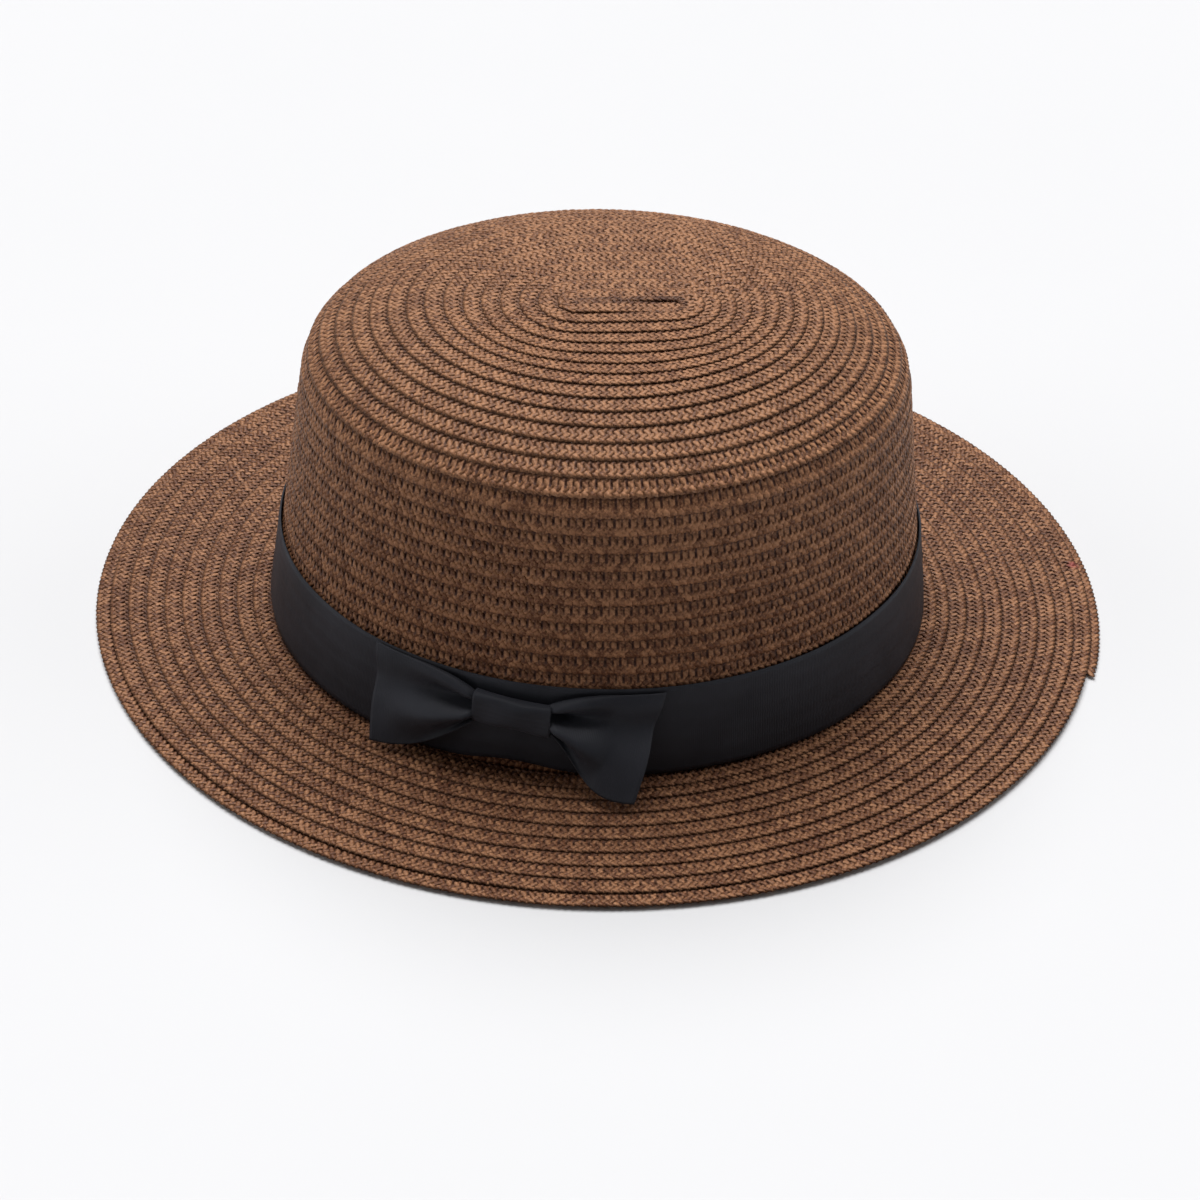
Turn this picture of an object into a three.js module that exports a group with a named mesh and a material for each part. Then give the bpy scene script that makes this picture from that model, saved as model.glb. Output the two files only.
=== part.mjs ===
// Straw boater hat: an oval crown with a gently domed tip, a flat brim, a ribbon
// band round the foot of the crown and a flat bow on the front long side.
//
// Millimetres, +Z up. The hat rests on the flat underside of its brim at z = 0,
// with the origin at the middle of the brim. X runs along the long axis of the
// head oval, and the bow is on the -Y side.

import * as THREE from "three";

// ---- driving dimensions --------------------------------------------------

// Every horizontal section is an oval: half-depth r along Y, r + OVAL_LEAD along X.
const OVAL_LEAD = 8.5;
const FOOT_RADIUS = 90; // outer half-depth of the crown where it meets the brim
const STRAW = 2; // thickness of the sewn braid
const GAP = 0.3; // clearance between neighbouring pieces
const AROUND = 72; // facets round each oval

// The crown's outer line, from its foot up the wall, over the shoulder and in
// to the middle: the slope of the straw at each distance along the line. Between
// two rows the slope changes evenly, so each stretch is a line or an arc.
const CROWN_LINE = [
  { along: 0, slope: 82.6 },
  { along: 78.5, slope: 82.6 },
  { along: 84.5, slope: 65 },
  { along: 93, slope: 32 },
  { along: 130, slope: 0.5 },
];
const SHOULDER_SEAM = 84.5; // distance along the line where the tip is sewn to the side
const ARC_STEP = 8; // largest change of slope in one facet, degrees

const BRIM = {
  width: 55, // from the crown's foot to the rim
  neckTop: 2.8, // height of the brim's upper face at the crown's foot
  neckWidth: 24, // how far out the raised neck reaches before the brim lies flat
  rimRound: 0.5, // eased edge at the rim
};

const BAND = {
  height: 28, // ribbon width
  thickness: 1,
  foot: 0.5, // clearance above the brim, along the wall
};

const KNOT = {
  from: -116, // angles on the oval, degrees
  to: -101.6,
  rise: 16, // height of the knot's lower edge up the wall
  height: 10.4,
  out: 1.7, // clearance of its back from the wall
  depth: 4.4,
  corner: 1.8,
  steps: 8,
};

// Each wing is the same ribbon, gathered at the knot and cut off square at its
// end. Its lower and upper edges are given by angle round the oval, rise up the
// wall and distance out from the wall. belly is how far its middle stands proud.
const WING_THICKNESS = 1;
const WING_STEPS = { along: 10, across: 8 };
const LEFT_WING = {
  belly: 1.6,
  lower: [
    { angle: -116.3, rise: 16.6, out: 3.8 },
    { angle: -119.5, rise: 9.5, out: 5.2 },
    { angle: -124.5, rise: 3.6, out: 7.4 },
    { angle: -130.5, rise: 0.4, out: 10.2 },
  ],
  upper: [
    { angle: -116.3, rise: 25.8, out: 3.4 },
    { angle: -120, rise: 27.2, out: 3.8 },
    { angle: -127, rise: 27.4, out: 3.2 },
    { angle: -135, rise: 27.4, out: 2.6 },
  ],
};
const RIGHT_WING = {
  belly: 2,
  lower: [
    { angle: -101.3, rise: 16.6, out: 3.8 },
    { angle: -97.8, rise: 10, out: 6.6 },
    { angle: -93.4, rise: 3.8, out: 11 },
    { angle: -88.8, rise: -0.2, out: 15.4 },
  ],
  upper: [
    { angle: -101.3, rise: 25.8, out: 3.4 },
    { angle: -97, rise: 26.4, out: 4 },
    { angle: -90.5, rise: 26.2, out: 3.4 },
    { angle: -84, rise: 26.2, out: 2.6 },
  ],
};

// ---- materials -------------------------------------------------------------

const strawMaterial = new THREE.MeshStandardMaterial({ color: 0x6b4a33, roughness: 0.8, metalness: 0 });
const ribbonMaterial = new THREE.MeshStandardMaterial({ color: 0x1c1d20, roughness: 0.6, metalness: 0 });

// ---- the crown's line ------------------------------------------------------

// Points { radius, height, slope, along } along the crown's outer line, between
// two distances. On a stretch whose slope turns from a to b over a length L the
// line is an arc of radius L / (b - a).
function walkCrown(from, to) {
  const points = [];
  let radius = FOOT_RADIUS;
  let height = BRIM.neckTop;
  for (let i = 0; i < CROWN_LINE.length; i += 1) {
    const row = CROWN_LINE[i];
    const centre = row.along + radius / Math.cos(THREE.MathUtils.degToRad(row.slope));
    const next = CROWN_LINE[i + 1] ?? { along: centre, slope: row.slope };
    const stops = stretchStops(row, next, from, to);
    for (const along of stops) {
      const end = advance(row, next, along - row.along);
      if (along >= from && along <= to + 1e-6) {
        points.push({ radius: Math.max(0, radius - end.inward), height: height + end.up, slope: end.slope, along });
      }
    }
    const end = advance(row, next, next.along - row.along);
    radius -= end.inward;
    height += end.up;
  }
  return points.filter((point, i) => i === 0 || point.along - points[i - 1].along > 1e-6);
}

// The distances where a stretch is cut into facets, with the asked ends added.
function stretchStops(row, next, from, to) {
  const count = Math.max(1, Math.ceil(Math.abs(next.slope - row.slope) / ARC_STEP));
  const stops = [from, to].filter((along) => along > row.along && along < next.along);
  for (let i = 0; i <= count; i += 1) {
    stops.push(row.along + ((next.along - row.along) * i) / count);
  }
  return stops.sort((a, b) => a - b);
}

// How far in and up the line goes over a length from the start of a stretch.
function advance(row, next, length) {
  const start = THREE.MathUtils.degToRad(row.slope);
  const turn = THREE.MathUtils.degToRad(next.slope - row.slope) * (length / (next.along - row.along || 1));
  if (Math.abs(turn) < 1e-9) {
    return { inward: length * Math.cos(start), up: length * Math.sin(start), slope: start };
  }
  const arcRadius = length / turn;
  return {
    inward: arcRadius * (Math.sin(start + turn) - Math.sin(start)),
    up: arcRadius * (Math.cos(start) - Math.cos(start + turn)),
    slope: start + turn,
  };
}

// A point moved out from the crown's line, square to the straw.
function outFrom(point, out) {
  return new THREE.Vector2(
    Math.max(0, point.radius + out * Math.sin(point.slope)),
    point.height + out * Math.cos(point.slope),
  );
}

// ---- shape helpers ---------------------------------------------------------

// A body of revolution drawn out into the head oval: the turned circle at each
// height is lengthened along X by OVAL_LEAD on both sides.
function ovalLathe(profile) {
  const geometry = new THREE.LatheGeometry(profile, AROUND);
  geometry.rotateX(Math.PI / 2);
  const position = geometry.attributes.position;
  const uv = geometry.attributes.uv;
  for (let i = 0; i < position.count; i += 1) {
    position.setX(i, position.getX(i) + OVAL_LEAD * Math.sin(2 * Math.PI * uv.getX(i)));
  }
  return geometry;
}

// The wall along the crown's line, between two offsets from it: in along the
// outer face and back out along the inner one, or the other way round.
function wallProfile(points, first, second) {
  const there = points.map((point) => outFrom(point, first));
  const back = points.map((point) => outFrom(point, second)).reverse();
  return [...there, ...back];
}

function closed(profile) {
  return [...profile, profile[0].clone()];
}

// The place at an angle round the oval, a rise up the wall and a distance out.
function onWall(angle, rise, out) {
  const wall = THREE.MathUtils.degToRad(CROWN_LINE[0].slope);
  const turn = THREE.MathUtils.degToRad(angle);
  const radius = FOOT_RADIUS - rise * Math.cos(wall) + out * Math.sin(wall);
  const height = BRIM.neckTop + rise * Math.sin(wall) + out * Math.cos(wall);
  return new THREE.Vector3((radius + OVAL_LEAD) * Math.cos(turn), radius * Math.sin(turn), height);
}

// Moves every vertex of a geometry by a function from its old place to its new one.
function bend(geometry, place) {
  const position = geometry.attributes.position;
  const vertex = new THREE.Vector3();
  for (let i = 0; i < position.count; i += 1) {
    vertex.fromBufferAttribute(position, i);
    const moved = place(vertex);
    position.setXYZ(i, moved.x, moved.y, moved.z);
  }
  return geometry;
}

function named(name, geometry, material) {
  const mesh = new THREE.Mesh(geometry, material.clone());
  mesh.name = name;
  return mesh;
}

// ---- the straw -------------------------------------------------------------

// The tip's profile starts and ends on the axis, so its two faces are whole.
function crownTip() {
  const points = walkCrown(SHOULDER_SEAM + GAP, Infinity).reverse();
  return ovalLathe(wallProfile(points, 0, -STRAW).reverse());
}

function crownSide() {
  const points = walkCrown(GAP, SHOULDER_SEAM);
  return ovalLathe(closed(wallProfile(points, 0, -STRAW)));
}

// The brim lies flat from its rim to the neck, then rises a little to the crown.
function brim() {
  const inner = FOOT_RADIUS - STRAW;
  const neck = FOOT_RADIUS + BRIM.neckWidth;
  const rim = FOOT_RADIUS + BRIM.width;
  const ease = BRIM.rimRound;
  const profile = [
    new THREE.Vector2(inner, BRIM.neckTop - STRAW),
    new THREE.Vector2(neck, 0),
    new THREE.Vector2(rim - ease, 0),
    new THREE.Vector2(rim, ease),
    new THREE.Vector2(rim, STRAW - ease),
    new THREE.Vector2(rim - ease, STRAW),
    new THREE.Vector2(neck, STRAW),
    new THREE.Vector2(inner, BRIM.neckTop),
  ];
  return ovalLathe(closed(profile));
}

// ---- the ribbon ------------------------------------------------------------

function hatBand() {
  const points = walkCrown(BAND.foot, BAND.foot + BAND.height);
  return ovalLathe(closed(wallProfile(points, GAP + BAND.thickness, GAP)));
}

// The knot is a short flat tube of ribbon with rounded corners, bent round the wall.
function bowKnot() {
  const { rise, height, out, depth, corner } = KNOT;
  const section = new THREE.Shape();
  section.moveTo(rise + corner, out);
  section.lineTo(rise + height - corner, out);
  section.absarc(rise + height - corner, out + corner, corner, -Math.PI / 2, 0, false);
  section.absarc(rise + height - corner, out + depth - corner, corner, 0, Math.PI / 2, false);
  section.absarc(rise + corner, out + depth - corner, corner, Math.PI / 2, Math.PI, false);
  section.absarc(rise + corner, out + corner, corner, Math.PI, 1.5 * Math.PI, false);
  const tube = new THREE.ExtrudeGeometry(section, {
    depth: KNOT.to - KNOT.from,
    steps: KNOT.steps,
    curveSegments: 3,
    bevelEnabled: false,
  });
  return bend(tube, (v) => onWall(KNOT.from + v.z, v.x, v.y));
}

// A curve through one edge of a wing.
function edgeCurve(rows) {
  return new THREE.CatmullRomCurve3(rows.map(({ angle, rise, out }) => onWall(angle, rise, out)));
}

// A wing is a thin sheet between its lower and upper edges, with a soft belly.
// toLeft turns the sheet's outer face the right way on the left-hand side.
function bowWing({ belly, lower, upper }, toLeft) {
  const lowerEdge = edgeCurve(lower);
  const upperEdge = edgeCurve(upper);
  const outward = onWall(lower[0].angle, 0, 1).sub(onWall(lower[0].angle, 0, 0)).normalize();
  const middle = (u, v) => {
    const swell = belly * Math.sin(Math.PI * v) * Math.sin(Math.PI * u);
    return lowerEdge.getPoint(u).lerp(upperEdge.getPoint(u), v).addScaledVector(outward, swell);
  };
  const step = 1e-3;
  const sheet = new THREE.BoxGeometry(1, 1, WING_THICKNESS, WING_STEPS.along, WING_STEPS.across, 1);
  return bend(sheet, ({ x, y, z }) => {
    const u = THREE.MathUtils.clamp(toLeft ? 0.5 - x : x + 0.5, step, 1 - step);
    const v = THREE.MathUtils.clamp(y + 0.5, step, 1 - step);
    const alongWing = middle(u + step, v).sub(middle(u - step, v)).multiplyScalar(toLeft ? -1 : 1);
    const acrossWing = middle(u, v + step).sub(middle(u, v - step));
    return middle(u, v).addScaledVector(alongWing.cross(acrossWing).normalize(), z);
  });
}

// ---- the hat ---------------------------------------------------------------

const hat = new THREE.Group();
hat.add(named("crown_top", crownTip(), strawMaterial));
hat.add(named("crown_side", crownSide(), strawMaterial));
hat.add(named("brim", brim(), strawMaterial));
hat.add(named("hat_band", hatBand(), ribbonMaterial));
hat.add(named("bow_knot", bowKnot(), ribbonMaterial));
hat.add(named("bow_wing_left", bowWing(LEFT_WING, true), ribbonMaterial));
hat.add(named("bow_wing_right", bowWing(RIGHT_WING, false), ribbonMaterial));

export default hat;
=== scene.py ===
"""A straw boater hat: plaited straw braid sewn in a spiral, a ribbon band and a flat bow."""

import logging
import math
from collections.abc import Callable, Sequence
from dataclasses import dataclass, field
from enum import Enum

import bpy
import numpy as np
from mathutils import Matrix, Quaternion, Vector


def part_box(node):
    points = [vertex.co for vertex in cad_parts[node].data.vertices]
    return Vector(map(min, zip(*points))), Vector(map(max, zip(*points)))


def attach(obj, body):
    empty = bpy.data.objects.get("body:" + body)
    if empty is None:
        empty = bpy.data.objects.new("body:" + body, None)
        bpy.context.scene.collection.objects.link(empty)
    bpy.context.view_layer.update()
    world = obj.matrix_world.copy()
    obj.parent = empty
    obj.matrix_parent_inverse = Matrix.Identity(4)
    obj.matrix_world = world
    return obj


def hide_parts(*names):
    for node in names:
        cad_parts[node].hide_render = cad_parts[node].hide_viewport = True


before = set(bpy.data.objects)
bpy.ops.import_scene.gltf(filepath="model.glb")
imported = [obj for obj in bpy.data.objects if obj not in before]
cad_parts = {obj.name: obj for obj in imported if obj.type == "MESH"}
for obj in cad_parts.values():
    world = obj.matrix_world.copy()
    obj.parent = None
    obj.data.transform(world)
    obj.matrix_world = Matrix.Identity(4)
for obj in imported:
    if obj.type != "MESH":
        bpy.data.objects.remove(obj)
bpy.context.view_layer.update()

log = logging.getLogger("boater")

MM = 0.001
BODY = "root"
FULL_TURN = 2 * math.pi

Socket = bpy.types.NodeSocket
Colour = tuple[float, float, float, float]
Span = tuple[float, float]


class Slot(Enum):
    """The record's material slots."""

    STRAW = "straw_braid"
    RIBBON = "ribbon"


def smooth_step(value: np.ndarray, low: float, high: float) -> np.ndarray:
    """Ease from 0 to 1 while value goes from low to high.

    Args:
        value: The values to ease.
        low: Where the result leaves 0.
        high: Where the result reaches 1.

    Returns:
        The eased values.
    """
    part = np.clip((np.asarray(value, float) - low) / (high - low), 0, 1)
    return part * part * (3 - 2 * part)


def unit(vectors: np.ndarray) -> np.ndarray:
    """Scale each row of an array of vectors to length 1."""
    return vectors / np.linalg.norm(vectors, axis=-1, keepdims=True)


def gaussian(value: np.ndarray, centre: float, width: float) -> np.ndarray:
    """Give a soft bump of height 1 at centre, about width wide on each side."""
    return np.exp(-(((np.asarray(value, float) - centre) / width) ** 2))


# ---- node trees ---------------------------------------------------------------


class TreeWriter:
    """Writes a node tree, one node a call, and gives back the sockets to join."""

    def __init__(self, tree: bpy.types.NodeTree) -> None:
        """Start writing in a tree.

        Args:
            tree: The geometry or shader tree to write in.
        """
        self.tree = tree

    def node(self, kind: str, links: dict | None = None, **settings: object) -> bpy.types.Node:
        """Add one node.

        Args:
            kind: The node's type name.
            links: What each input takes: a socket to link, or a value to set.
            **settings: The node's own properties.

        Returns:
            The new node.
        """
        made = self.tree.nodes.new(kind)
        for name, value in settings.items():
            setattr(made, name, value)
        for key, source in (links or {}).items():
            self.join(source, made.inputs[key])
        return made

    def join(self, source: object, target: Socket) -> None:
        """Link a socket to an input, or set the input to a plain value."""
        if isinstance(source, Socket):
            self.tree.links.new(source, target)
        else:
            target.default_value = source

    def math(self, operation: str, *terms: object, clamp: bool = False) -> Socket:
        """Add a Math node and give its result."""
        links = dict(enumerate(terms))
        return self.node("ShaderNodeMath", links, operation=operation, use_clamp=clamp).outputs[0]

    def vector(self, operation: str, *terms: object) -> Socket:
        """Add a Vector Math node and give its vector result."""
        return self.node("ShaderNodeVectorMath", dict(enumerate(terms)), operation=operation).outputs[0]

    def scaled(self, vector: object, factor: object) -> Socket:
        """Give a vector times a number."""
        return self.node("ShaderNodeVectorMath", {0: vector, "Scale": factor}, operation="SCALE").outputs[0]

    def tint(self, factor: object, low: object, high: object) -> Socket:
        """Give the colour that lies between two colours by a factor."""
        return self.node("ShaderNodeMix", {0: factor, 6: low, 7: high}, data_type="RGBA").outputs[2]

    def ramp(self, value: object, low: float, high: float, start: float = 0, end: float = 1) -> Socket:
        """Map a number from one range to another, clamped."""
        links = {0: value, 1: low, 2: high, 3: start, 4: end}
        return self.node("ShaderNodeMapRange", links).outputs[0]

    def noise(self, place: object, scale: float, detail: float = 2, rough: float = 0.5) -> Socket:
        """Give smooth noise from 0 to 1 at a place."""
        links = {"Vector": place, "Scale": scale, "Detail": detail, "Roughness": rough}
        return self.node("ShaderNodeTexNoise", links).outputs[0]

    def split(self, vector: object) -> Sequence[Socket]:
        """Give the three parts of a vector."""
        return self.node("ShaderNodeSeparateXYZ", {0: vector}).outputs

    def place(self) -> Socket:
        """Give the place on the piece, in a material."""
        return self.node("ShaderNodeTexCoord").outputs["Object"]

    def attribute(self, name: str, output: str) -> Socket:
        """Read a mesh attribute in a material."""
        return self.node("ShaderNodeAttribute", attribute_name=name).outputs[output]


# ---- finishes -----------------------------------------------------------------


def new_material(name: str) -> tuple[bpy.types.Material, TreeWriter, bpy.types.Node]:
    """Make a material with one Principled shader.

    Args:
        name: The material's name.

    Returns:
        The material, a writer on its tree, and the shader.
    """
    material = bpy.data.materials.new(name)
    material.use_nodes = True
    writer = TreeWriter(material.node_tree)
    return material, writer, material.node_tree.nodes["Principled BSDF"]


@dataclass(frozen=True)
class PaintedGapShade:
    """Painted shade in the slots between straws and in the crease where the next row covers a row's edge.

    Each pair of numbers is where an effect starts and where it is full or gone: a slot's are the
    cosine of its place in the repeat, and the others are distances from the middle of the braid
    or heights over the floor.
    """

    pitch: float = 4.1 * MM
    painted_wide_slot: Span = (0.76, 0.92)
    painted_narrow_slot: Span = (-0.88, -0.96)
    painted_narrow_share: float = 0.7
    painted_slot_reach: Span = (1.6 * MM, 1.0 * MM)
    tip_levels: Span = (92 * MM, 99 * MM)
    tip_share: float = 0.4
    brim_levels: Span = (4 * MM, 12 * MM)
    brim_share: float = 0.7
    painted_crease_reach: Span = (-1.45 * MM, -0.85 * MM)
    painted_crease_share: float = 0.85
    painted_crease_breaks: float = 1.3

    def write(self, w: TreeWriter) -> Socket:
        """Give how much painted shade a place gets in a slot or in a crease.

        Args:
            w: The writer of the straw's material.

        Returns:
            A number from 0 to 1.
        """
        lie = w.attribute("lie", "Vector")
        along, across, _ = w.split(lie)
        # Painted shade in the slots between straws: dark at two places in each repeat, weaker on the tip and
        # the brim.
        beat = w.math("COSINE", w.math("MULTIPLY", along, FULL_TURN / self.pitch))
        wide = w.ramp(beat, *self.painted_wide_slot, 0.0, 1.0)
        narrow = w.ramp(beat, *self.painted_narrow_slot, 0.0, self.painted_narrow_share)
        slot = w.math("MULTIPLY", w.math("MAXIMUM", wide, narrow), w.ramp(across, *self.painted_slot_reach))
        level = w.split(w.place())[2]
        slot = w.math("MULTIPLY", slot, w.ramp(level, *self.tip_levels, 1.0, self.tip_share))
        slot = w.math("MULTIPLY", slot, w.ramp(level, *self.brim_levels, self.brim_share, 1.0))
        breaks = w.noise(w.scaled(lie, 1 / self.pitch), self.painted_crease_breaks)
        # Painted shade in the crease under the covering row's edge, broken up by noise.
        crease = w.ramp(across, *self.painted_crease_reach, self.painted_crease_share, 0.0)
        return w.math("MAXIMUM", slot, w.math("MULTIPLY", crease, w.ramp(breaks, 0.4, 0.6, 0.4)))


@dataclass(frozen=True)
class StrawFinish:
    """Toasted straw: long fibres, each straw its own shade, with painted shade in the hollows, slots and
    creases, and painted shade that darkens it towards the floor.
    """

    dark: Colour = (0.102, 0.035, 0.0135, 1)
    light: Colour = (0.355, 0.168, 0.081, 1)
    # Painted shade colour, laid into the weave's hollows, the slots between straws and the crease under each
    # row's edge.
    hollow: Colour = (0.050, 0.015, 0.006, 1)
    fleck: Colour = (0.330, 0.055, 0.060, 1)
    painted_gap_shade: PaintedGapShade = PaintedGapShade()
    roughness: Span = (0.50, 0.70)
    gloss: float = 0.3
    fibre_length: float = 2.2 * MM
    fibre_width: float = 0.22 * MM
    speck_size: float = 0.65 * MM
    speck: float = 1.1
    patch_scale: float = 38.0
    patch: float = 0.16
    # Painted shade: the straw is painted up to this much darker near the floor and lighter near the tip.
    fade: float = 0.07
    painted_shade_levels: Span = (5 * MM, 100 * MM)
    contrast: Span = (0.18, 0.82)
    # Painted shade in the hollows: how low a straw lies before it is painted fully dark, and how dark.
    painted_shade_depth: float = 0.75
    painted_shade_share: float = 0.85
    fleck_place: tuple[float, float, float] = (149.4 * MM, 5.7 * MM, 1.6 * MM)
    fleck_size: float = 2.4 * MM
    fleck_share: float = 0.6
    fibre_relief: float = 0.12 * MM
    fibre_bump: float = 0.35

    def _mixed(self, w: TreeWriter, streak: Socket) -> Socket:
        """Give how light the straw is at a place, from about 0 to 1.

        Args:
            w: The writer of the material.
            streak: The noise along the fibres.

        Returns:
            The streaks and the straw's own shade, with patches, specks and painted shade that slowly darkens
            it towards the floor.
        """
        place = w.place()
        patch = w.noise(place, self.patch_scale, detail=2)
        speck = w.noise(place, 1 / self.speck_size, detail=1)
        shade = w.attribute("shade", "Fac")
        mixed = w.math("MULTIPLY_ADD", streak, 0.5, w.math("MULTIPLY", shade, 0.5))
        mixed = w.math("MULTIPLY_ADD", w.math("SUBTRACT", patch, 0.5), self.patch, mixed)
        # Painted shade: darker low on the hat, lighter high up.
        mixed = w.math("ADD", mixed, w.ramp(w.split(place)[2], *self.painted_shade_levels, -self.fade, self.fade))
        return w.math("MULTIPLY_ADD", w.math("SUBTRACT", speck, 0.5), self.speck, mixed)

    def make(self) -> bpy.types.Material:
        """Build the material from the grain, shade, depth and lie attributes; depth and lie place the painted
        shade.

        Returns:
            The straw's material.
        """
        material, w, shader = new_material("straw")
        fibre = (self.fibre_length, self.fibre_width, 1.0)
        fibres = w.vector("DIVIDE", w.attribute("grain", "Vector"), fibre)
        streak = w.noise(fibres, 1.0, detail=3, rough=0.6)
        colour = w.tint(w.ramp(self._mixed(w, streak), *self.contrast), self.dark, self.light)
        # Painted shade: straws that lie lower in the weave are painted towards the shade colour.
        painted_hollow_shade = w.ramp(w.attribute("depth", "Fac"), 0.0, self.painted_shade_depth, self.painted_shade_share, 0.0)
        colour = w.tint(painted_hollow_shade, colour, self.hollow)
        # Painted shade of the slots and creases.
        colour = w.tint(self.painted_gap_shade.write(w), colour, self.hollow)
        away = w.node("ShaderNodeVectorMath", {0: w.place(), 1: self.fleck_place}, operation="DISTANCE")
        near = w.ramp(away.outputs["Value"], self.fleck_size, 0.3 * self.fleck_size, 0.0, self.fleck_share)
        w.join(w.tint(near, colour, self.fleck), shader.inputs["Base Color"])
        w.join(w.ramp(streak, 0.3, 0.7, *self.roughness), shader.inputs["Roughness"])
        shader.inputs["Specular IOR Level"].default_value = self.gloss
        links = {"Strength": self.fibre_bump, "Distance": self.fibre_relief, "Height": streak}
        w.join(w.node("ShaderNodeBump", links).outputs[0], shader.inputs["Normal"])
        return material


@dataclass(frozen=True)
class RibbonFinish:
    """Near-black ribbon with fine cross ribs and a soft sheen."""

    colour: Colour = (0.0250, 0.0258, 0.0314, 1)
    worn: Colour = (0.0375, 0.0387, 0.0471, 1)
    wear_scale: float = 60.0
    rib_pitch: float = 0.55 * MM
    weft_size: tuple[float, float, float] = (0.5 * MM, 6 * MM, 1.0)
    weft: float = 0.8
    roughness: Span = (0.42, 0.58)
    gloss: float = 0.11
    rib_relief: float = 0.06 * MM
    rib_bump: float = 0.25

    def make(self) -> bpy.types.Material:
        """Build the material from the ribbon's own UV map, in metres.

        Returns:
            The ribbon's material.
        """
        material, w, shader = new_material("ribbon")
        uv = w.node("ShaderNodeUVMap", uv_map="UVMap").outputs[0]
        rib = w.math("SINE", w.math("MULTIPLY", w.split(uv)[0], FULL_TURN / self.rib_pitch))
        weft = w.noise(w.vector("DIVIDE", uv, self.weft_size), 1.0, detail=2)
        wear = w.noise(w.place(), self.wear_scale, detail=3)
        w.join(w.tint(w.ramp(wear, 0.3, 0.75), self.colour, self.worn), shader.inputs["Base Color"])
        w.join(w.ramp(weft, 0.2, 0.8, *self.roughness), shader.inputs["Roughness"])
        shader.inputs["Specular IOR Level"].default_value = self.gloss
        height = w.math("MULTIPLY_ADD", weft, self.weft, rib)
        links = {"Strength": self.rib_bump, "Distance": self.rib_relief, "Height": height}
        w.join(w.node("ShaderNodeBump", links).outputs[0], shader.inputs["Normal"])
        return material


@dataclass(frozen=True)
class FloorFinish:
    """Matte pale studio floor."""

    colour: Colour = (0.608, 0.608, 0.618, 1)
    paler: Colour = (0.620, 0.620, 0.630, 1)
    mottle_scale: float = 6.0
    roughness: float = 0.9

    def make(self) -> bpy.types.Material:
        """Build the floor's material with a very faint mottle.

        Returns:
            The floor's material.
        """
        material, w, shader = new_material("studio_floor")
        mottle = w.noise(w.place(), self.mottle_scale)
        w.join(w.tint(mottle, self.colour, self.paler), shader.inputs["Base Color"])
        shader.inputs["Roughness"].default_value = self.roughness
        return material


# ---- the hat's form -----------------------------------------------------------


@dataclass(frozen=True)
class CrownStop:
    """The slope of the crown's outer line at a distance along it from the foot."""

    along: float
    slope: float


CROWN_LINE = (
    CrownStop(0.0, 82.6),
    CrownStop(78.5 * MM, 82.6),
    CrownStop(84.5 * MM, 65.0),
    CrownStop(93.0 * MM, 32.0),
    CrownStop(130.0 * MM, 0.5),
)


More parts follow.
